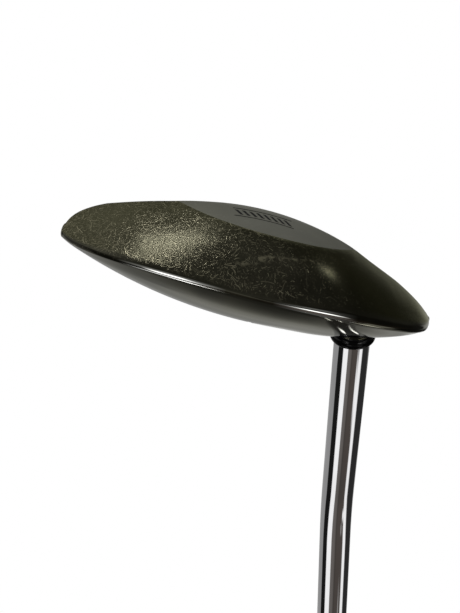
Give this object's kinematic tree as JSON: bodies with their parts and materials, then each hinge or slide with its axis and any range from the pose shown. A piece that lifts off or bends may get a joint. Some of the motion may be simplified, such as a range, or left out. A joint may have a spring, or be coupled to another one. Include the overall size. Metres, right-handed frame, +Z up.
{
  "type": "mallet putter",
  "caption": "Right-handed mallet putter with a half-moon head, a bent steel shaft, a black ferrule and a flat-sided rubber grip.",
  "frame": {"origin": "on the ground under the middle of the sole patch, with the putter standing as it is addressed to the ball", "axes": "+Z up from the ground, the striking face looks along -Y, the heel, the shaft's lean and the player are towards +X"},
  "size_m": [0.3466, 0.0496, 0.8519],
  "materials": {
    "plated_steel": "dark olive plating with a satin shine, worn and finely scratched",
    "paint": "flat white paint fill",
    "adhesive": "cured epoxy",
    "ferrule_plastic": "polished black",
    "chromed_steel": "bright chrome plating",
    "tape": "paper tape",
    "grip_rubber": "matte, finely grained"
  },
  "bodies": {
    "root": {"head_body": "plated_steel", "sight_line_paint": "paint", "hosel_adhesive": "adhesive", "ferrule": "ferrule_plastic", "shaft": "chromed_steel", "grip_tape": "tape", "grip_sleeve": "grip_rubber", "grip_cap": "grip_rubber"}
  },
  "joints": []
}
